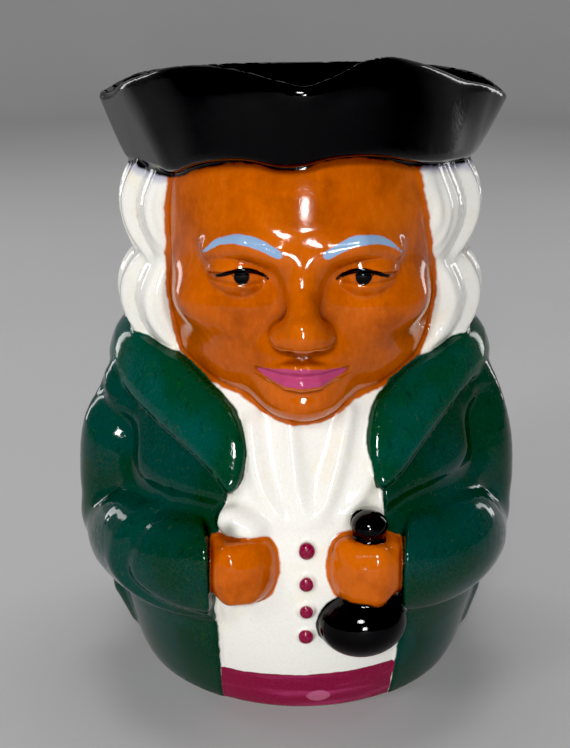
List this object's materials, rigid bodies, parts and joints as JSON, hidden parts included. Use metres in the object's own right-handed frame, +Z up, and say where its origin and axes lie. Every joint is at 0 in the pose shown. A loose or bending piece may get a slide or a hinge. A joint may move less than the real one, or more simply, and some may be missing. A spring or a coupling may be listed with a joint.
{
  "type": "toby jug",
  "caption": "Hollow glazed figure jug of a seated man in a cocked hat whose brim is the pouring rim, with a loop handle behind.",
  "frame": {"origin": "middle of the underside of the jug's box, on the surface that it stands on", "axes": "+Z up, the figure's face towards -Y and the handle towards +Y, +X to the right seen from the front"},
  "size_m": [0.1114, 0.1336, 0.1546],
  "materials": {
    "glaze": "high gloss glaze over painted colours"
  },
  "bodies": {
    "root": {"jug": "glaze"}
  },
  "joints": []
}
